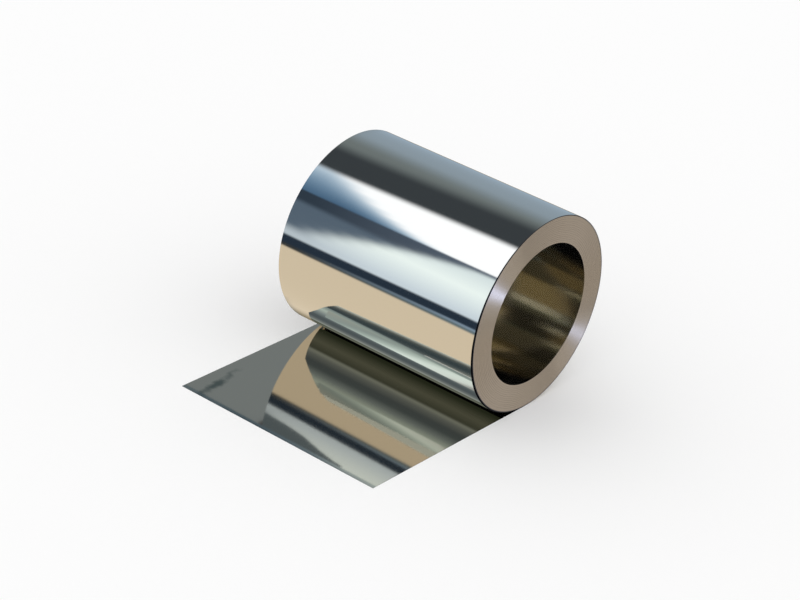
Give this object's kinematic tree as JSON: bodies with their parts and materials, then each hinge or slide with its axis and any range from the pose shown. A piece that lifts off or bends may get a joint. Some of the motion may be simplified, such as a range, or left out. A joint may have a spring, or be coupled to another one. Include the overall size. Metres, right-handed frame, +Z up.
{
  "type": "tinplate coil",
  "caption": "Coil of bright tinplate strip with a through bore, lying on its side, with the end of the strip paid off flat along the floor.",
  "frame": {"origin": "on the bore's axis, at mid width", "axes": "+X along the bore's axis, +Y away from the tail, which lies towards -Y, +Z up from the floor that the coil and its tail lie on"},
  "size_m": [0.83, 1.152, 0.7043],
  "materials": {
    "tinplate": "bright, mirror-like tin"
  },
  "bodies": {
    "root": {"strip_coil": "tinplate"}
  },
  "joints": []
}
